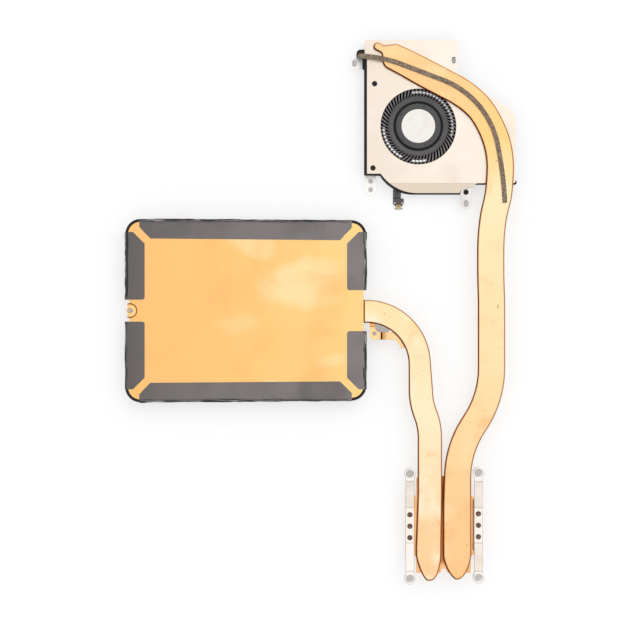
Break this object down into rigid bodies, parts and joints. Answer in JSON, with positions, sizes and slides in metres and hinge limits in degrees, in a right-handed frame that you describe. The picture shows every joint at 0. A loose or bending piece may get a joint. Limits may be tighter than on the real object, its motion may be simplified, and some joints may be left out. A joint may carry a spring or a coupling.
{
  "type": "laptop cooling fan heatsink",
  "caption": "Flat blower with a copper heat pipe to a cold plate on spring brackets, and a second pipe to a foam-edged copper spreader plate.",
  "frame": {"origin": "centre of the cold plate's face that touches the processor", "axes": "+Z away from the processor, +Y from the cold plate towards the blower, +X to the right in the picture"},
  "size_m": [0.147, 0.2038, 0.0064],
  "materials": {
    "cold_plate_copper": "satin",
    "pipe_copper": "satin",
    "plate_copper": "satin",
    "bracket_copper": "satin",
    "spring_steel": "satin",
    "rivet_brass": "satin",
    "foam": "matt",
    "tape_grey": "matt",
    "cover_steel": "satin",
    "frame_plastic": "satin",
    "base_steel": "satin",
    "screw_black": "satin",
    "fin_aluminium": "satin",
    "impeller_plastic": "satin",
    "yoke_steel": "satin",
    "magnet_dark": "matt",
    "shaft_steel": "polished",
    "label_white": "matt",
    "housing_brass": "satin",
    "sleeve_bronze": "matt",
    "pad_plastic": "satin",
    "core_steel": "matt",
    "winding_copper": "gloss",
    "flex_dark": "satin",
    "contact_gold": "polished",
    "felt": "matt"
  },
  "bodies": {
    "cooler": {"cold_plate": "cold_plate_copper", "spring_bracket_left": "spring_steel", "spring_bracket_right": "spring_steel", "bracket_rivets": "rivet_brass", "heat_pipe_fan": "pipe_copper", "heat_pipe_spreader": "pipe_copper", "spreader_plate": "plate_copper", "gasket_upper": "foam", "gasket_lower": "foam", "tape_top": "tape_grey", "tape_bottom": "tape_grey", "tape_left_upper": "tape_grey", "tape_left_lower": "tape_grey", "tape_right_upper": "tape_grey", "tape_right_lower": "tape_grey", "pipe_bracket": "bracket_copper", "fan_cover": "cover_steel", "fan_frame": "frame_plastic", "fan_base_plate": "base_steel", "mounting_ear": "base_steel", "fan_screws": "screw_black", "fin_stack_top": "fin_aluminium", "fin_stack_diagonal": "fin_aluminium", "fin_stack_side": "fin_aluminium", "bearing_housing": "housing_brass", "sleeve_bearing": "sleeve_bronze", "thrust_pad": "pad_plastic", "stator_core": "core_steel", "stator_windings": "winding_copper", "motor_circuit": "flex_dark", "flex_cable": "flex_dark", "cable_stiffener": "flex_dark", "cable_contacts": "contact_gold", "seal_strip": "felt"},
    "rotor": {"impeller": "impeller_plastic", "rotor_yoke": "yoke_steel", "rotor_magnet": "magnet_dark", "rotor_shaft": "shaft_steel", "hub_label": "label_white"}
  },
  "joints": [
    {"name": "impeller_spin", "type": "hinge", "parent": "cooler", "child": "rotor", "pos_m": [-0.0098, 0.1499, 0], "axis": [0, 0, 1], "continuous": true}
  ]
}
